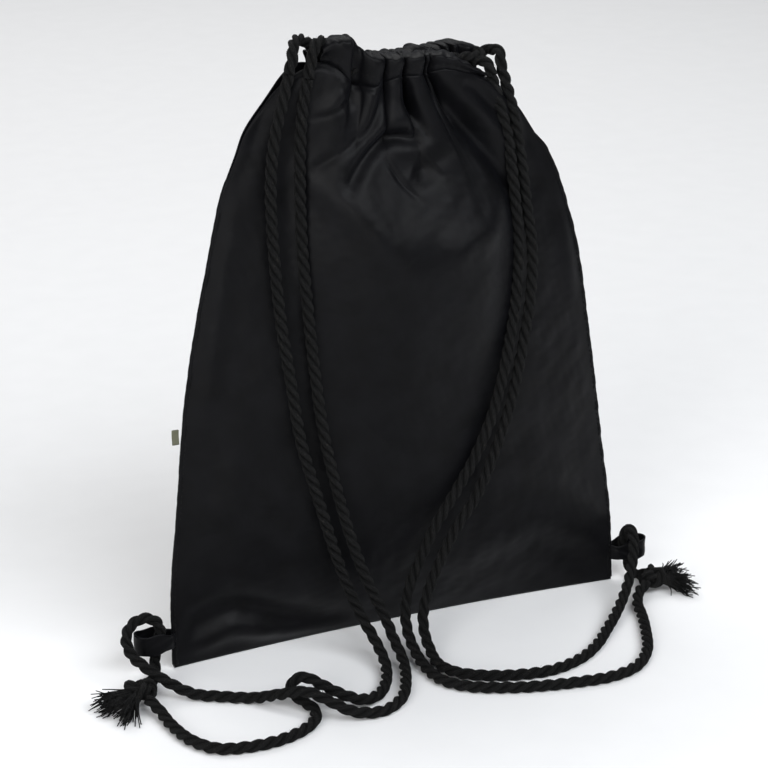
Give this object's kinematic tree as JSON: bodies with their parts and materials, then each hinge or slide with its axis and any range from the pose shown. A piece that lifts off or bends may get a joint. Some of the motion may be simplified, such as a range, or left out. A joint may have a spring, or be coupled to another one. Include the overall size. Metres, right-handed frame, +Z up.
{
  "type": "drawstring backpack",
  "caption": "Drawstring backpack in black satin cloth with rope cords that gather the mouth, serve as shoulder straps and end in knots at the bottom corners.",
  "frame": {"origin": "middle of the base on the floor", "axes": "+Z up to the mouth, -Y out of the strap side, +X to the right seen from the strap side"},
  "size_m": [0.4524, 0.2201, 0.4223],
  "materials": {
    "satin": "satin weave",
    "cord": "twisted fibre, matt",
    "label": "woven tape, matt"
  },
  "bodies": {
    "bag": {"front_panel": "satin", "back_panel": "satin", "left_side_seam": "satin", "right_side_seam": "satin", "bottom_seam": "satin", "front_casing": "satin", "back_casing": "satin", "left_tab": "satin", "right_tab": "satin", "side_label": "label"},
    "left_cord": {"left_cord_run": "cord"},
    "left_strap": {"left_strap_to_knot": "cord", "left_strap_through_tab": "cord", "left_knot": "cord", "left_tail_a": "cord", "left_tail_b": "cord"},
    "right_cord": {"right_cord_run": "cord"},
    "right_strap": {"right_strap_to_knot": "cord", "right_strap_through_tab": "cord", "right_knot": "cord", "right_tail_a": "cord", "right_tail_b": "cord"}
  },
  "joints": [
    {"name": "left_cord_pull", "type": "slide", "parent": "bag", "child": "left_cord", "axis": [-1, 0, 0], "range_m": [0, 0.006]},
    {"name": "left_strap_swing", "type": "hinge", "parent": "left_cord", "child": "left_strap", "pos_m": [-0.1794, -0.02, 0.022], "axis": [-0.2421, 0.0359, -0.9696], "range_deg": [0, 90]},
    {"name": "right_cord_pull", "type": "slide", "parent": "bag", "child": "right_cord", "axis": [1, 0, 0], "range_m": [0, 0.006]},
    {"name": "right_strap_swing", "type": "hinge", "parent": "right_cord", "child": "right_strap", "pos_m": [0.1799, -0.02, 0.022], "axis": [-0.2977, -0.0366, 0.954], "range_deg": [0, 90]}
  ]
}
